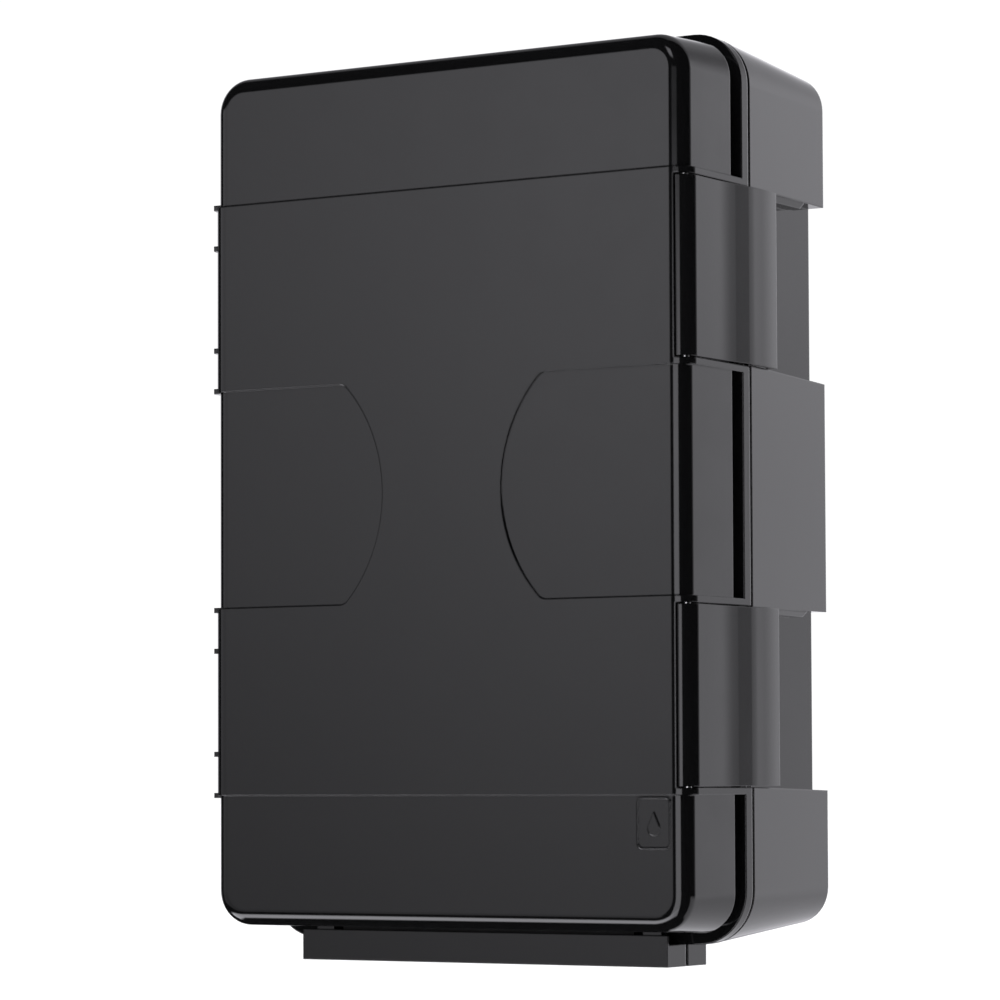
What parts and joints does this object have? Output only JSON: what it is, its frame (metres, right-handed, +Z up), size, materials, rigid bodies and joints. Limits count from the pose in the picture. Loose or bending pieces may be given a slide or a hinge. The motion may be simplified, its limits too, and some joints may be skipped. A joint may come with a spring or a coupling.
{
  "type": "weatherproof enclosure",
  "caption": "Upright glossy black wall box with a hinged lid, side latches, a rim gasket, a split cable entry underneath and a slotted mounting plate inside.",
  "frame": {"origin": "on the wall plane at the back of the base, midway between the four wall fixing holes", "axes": "+X to the right of someone facing the lid, +Y into the wall, +Z up; the lid faces -Y"},
  "size_m": [0.2256, 0.1203, 0.3522],
  "materials": {
    "case": "gloss",
    "latch": "gloss",
    "gasket": "matte",
    "seal": "matte",
    "plug": "matte",
    "washer": "matte",
    "pin": "satin",
    "screw": "bright zinc",
    "plate": "galvanised",
    "clamp": "moulded"
  },
  "bodies": {
    "base": {"base_shell": "case", "rim_gasket": "gasket", "upper_hinge_pin": "pin", "lower_hinge_pin": "pin", "base_entry_bar": "case", "base_entry_seal": "seal", "entry_plugs": "plug", "base_bar_screws": "screw", "mounting_plate": "plate", "plate_screws": "screw", "cable_clamp": "clamp", "clamp_screws": "screw", "wall_washers": "washer"},
    "lid": {"lid_shell": "case", "lid_entry_bar": "case", "lid_entry_seal": "seal", "lid_bar_screws": "screw", "upper_latch_pin": "pin", "lower_latch_pin": "pin"},
    "upper_latch": {"upper_latch": "latch"},
    "lower_latch": {"lower_latch": "latch"}
  },
  "joints": [
    {"name": "lid_hinge", "type": "hinge", "parent": "base", "child": "lid", "pos_m": [-0.1118, -0.072, 0], "axis": [0, 0, -1], "range_deg": [0, 120]},
    {"name": "upper_latch_pivot", "type": "hinge", "parent": "lid", "child": "upper_latch", "pos_m": [0.1035, -0.115, 0.07905], "axis": [0, 0, -1], "range_deg": [0, 70]},
    {"name": "lower_latch_pivot", "type": "hinge", "parent": "lid", "child": "lower_latch", "pos_m": [0.1035, -0.115, -0.07905], "axis": [0, 0, -1], "range_deg": [0, 70]}
  ]
}
